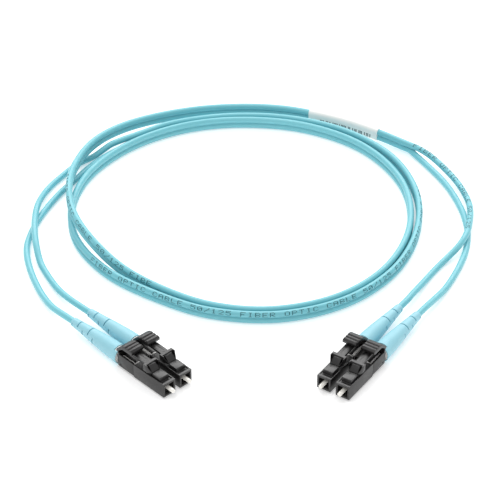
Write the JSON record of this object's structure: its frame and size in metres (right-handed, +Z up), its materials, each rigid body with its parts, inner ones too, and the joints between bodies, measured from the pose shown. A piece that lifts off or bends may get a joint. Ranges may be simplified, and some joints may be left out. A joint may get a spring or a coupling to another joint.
{
  "type": "fiber optic patch cord",
  "caption": "Duplex fibre optic patch cord in a loop: figure-of-eight cord, split legs, slit boots, duplex clips, latched plugs with thumb triggers and sprung ceramic ferrules.",
  "frame": {"origin": "middle of the base of the box round both duplex connectors, on the surface the cord lies on", "axes": "+X along the row of connectors, +Y towards the far side of the cord loop, +Z up"},
  "size_m": [0.139, 0.1497, 0.0093],
  "materials": {
    "zirconia": "ground zirconia ceramic",
    "steel": "spring and flange steel",
    "black_plastic": "moulded polymer, fine satin",
    "white_plastic": "moulded polymer, satin",
    "crimp_metal": "drawn sleeve",
    "aqua_rubber": "moulded thermoplastic elastomer",
    "aqua_jacket": "extruded PVC jacket, light sheen",
    "buffer_coat": "900 micron tight buffer",
    "label_paper": "wrapped label film"
  },
  "bodies": {
    "root": {"duplex_clip_left": "black_plastic", "plug_housing_left_a": "black_plastic", "ferrule_spring_left_a": "steel", "rear_body_left_a": "white_plastic", "crimp_sleeve_left_a": "crimp_metal", "boot_left_a": "aqua_rubber", "buffered_fibre_left_a": "buffer_coat", "jacket_end_left_a": "aqua_jacket", "plug_housing_left_b": "black_plastic", "ferrule_spring_left_b": "steel", "rear_body_left_b": "white_plastic", "crimp_sleeve_left_b": "crimp_metal", "boot_left_b": "aqua_rubber", "buffered_fibre_left_b": "buffer_coat", "jacket_end_left_b": "aqua_jacket", "duplex_clip_right": "black_plastic", "plug_housing_right_a": "black_plastic", "ferrule_spring_right_a": "steel", "rear_body_right_a": "white_plastic", "crimp_sleeve_right_a": "crimp_metal", "boot_right_a": "aqua_rubber", "buffered_fibre_right_a": "buffer_coat", "jacket_end_right_a": "aqua_jacket", "plug_housing_right_b": "black_plastic", "ferrule_spring_right_b": "steel", "rear_body_right_b": "white_plastic", "crimp_sleeve_right_b": "crimp_metal", "boot_right_b": "aqua_rubber", "buffered_fibre_right_b": "buffer_coat", "jacket_end_right_b": "aqua_jacket", "duplex_cord": "aqua_jacket", "leg_left_a": "aqua_jacket", "leg_left_b": "aqua_jacket", "leg_right_a": "aqua_jacket", "leg_right_b": "aqua_jacket", "cord_label": "label_paper"},
    "ferrule_left_a": {"ferrule_left_a": "zirconia", "ferrule_flange_left_a": "steel"},
    "latch_left_a": {"latch_arm_left_a": "black_plastic"},
    "trigger_left_a": {"trigger_left_a": "black_plastic"},
    "ferrule_left_b": {"ferrule_left_b": "zirconia", "ferrule_flange_left_b": "steel"},
    "latch_left_b": {"latch_arm_left_b": "black_plastic"},
    "trigger_left_b": {"trigger_left_b": "black_plastic"},
    "ferrule_right_a": {"ferrule_right_a": "zirconia", "ferrule_flange_right_a": "steel"},
    "latch_right_a": {"latch_arm_right_a": "black_plastic"},
    "trigger_right_a": {"trigger_right_a": "black_plastic"},
    "ferrule_right_b": {"ferrule_right_b": "zirconia", "ferrule_flange_right_b": "steel"},
    "latch_right_b": {"latch_arm_right_b": "black_plastic"},
    "trigger_right_b": {"trigger_right_b": "black_plastic"}
  },
  "joints": [
    {"name": "ferrule_slide_left_a", "type": "slide", "parent": "root", "child": "ferrule_left_a", "axis": [-0.6884, 0.7254, 0], "range_m": [0, 0.0009], "stiffness_N_per_m": 600, "springref_m": -0.0015, "deforming": ["ferrule_spring_left_a"]},
    {"name": "trigger_press_left_a", "type": "hinge", "parent": "root", "child": "trigger_left_a", "pos_m": [-0.03041, 0.00104, 0.00584], "axis": [0.7254, 0.6884, 0], "range_deg": [0, 8], "stiffness_Nm_per_rad": 0.05},
    {"name": "latch_flex_left_a", "type": "hinge", "parent": "root", "child": "latch_left_a", "pos_m": [-0.02105, -0.00883, 0.00568], "axis": [-0.7254, -0.6884, 0], "range_deg": [0, 6], "stiffness_Nm_per_rad": 0.01},
    {"name": "ferrule_slide_left_b", "type": "slide", "parent": "root", "child": "ferrule_left_b", "axis": [-0.6884, 0.7254, 0], "range_m": [0, 0.0009], "stiffness_N_per_m": 600, "springref_m": -0.0015, "deforming": ["ferrule_spring_left_b"]},
    {"name": "trigger_press_left_b", "type": "hinge", "parent": "root", "child": "trigger_left_b", "pos_m": [-0.03495, -0.00326, 0.00584], "axis": [0.7254, 0.6884, 0], "range_deg": [0, 8], "stiffness_Nm_per_rad": 0.05},
    {"name": "latch_flex_left_b", "type": "hinge", "parent": "root", "child": "latch_left_b", "pos_m": [-0.02558, -0.01313, 0.00568], "axis": [-0.7254, -0.6884, 0], "range_deg": [0, 6], "stiffness_Nm_per_rad": 0.01},
    {"name": "ferrule_slide_right_a", "type": "slide", "parent": "root", "child": "ferrule_right_a", "axis": [0.5534, 0.8329, 0], "range_m": [0, 0.0009], "stiffness_N_per_m": 600, "springref_m": -0.0015, "deforming": ["ferrule_spring_right_a"]},
    {"name": "trigger_press_right_a", "type": "hinge", "parent": "root", "child": "trigger_right_a", "pos_m": [0.03789, -0.00257, 0.00584], "axis": [0.8329, -0.5534, 0], "range_deg": [0, 8], "stiffness_Nm_per_rad": 0.05},
    {"name": "latch_flex_right_a", "type": "hinge", "parent": "root", "child": "latch_right_a", "pos_m": [0.03036, -0.01389, 0.00568], "axis": [-0.8329, 0.5534, 0], "range_deg": [0, 6], "stiffness_Nm_per_rad": 0.01},
    {"name": "ferrule_slide_right_b", "type": "slide", "parent": "root", "child": "ferrule_right_b", "axis": [0.5534, 0.8329, 0], "range_m": [0, 0.0009], "stiffness_N_per_m": 600, "springref_m": -0.0015, "deforming": ["ferrule_spring_right_b"]},
    {"name": "trigger_press_right_b", "type": "hinge", "parent": "root", "child": "trigger_right_b", "pos_m": [0.03268, 0.00089, 0.00584], "axis": [0.8329, -0.5534, 0], "range_deg": [0, 8], "stiffness_Nm_per_rad": 0.05},
    {"name": "latch_flex_right_b", "type": "hinge", "parent": "root", "child": "latch_right_b", "pos_m": [0.02516, -0.01043, 0.00568], "axis": [-0.8329, 0.5534, 0], "range_deg": [0, 6], "stiffness_Nm_per_rad": 0.01}
  ],
  "couplings": [
    {"joint": "latch_flex_left_a", "follows": "trigger_press_left_a", "ratio": 0.69},
    {"joint": "latch_flex_left_b", "follows": "trigger_press_left_b", "ratio": 0.69},
    {"joint": "latch_flex_right_a", "follows": "trigger_press_right_a", "ratio": 0.69},
    {"joint": "latch_flex_right_b", "follows": "trigger_press_right_b", "ratio": 0.69}
  ]
}
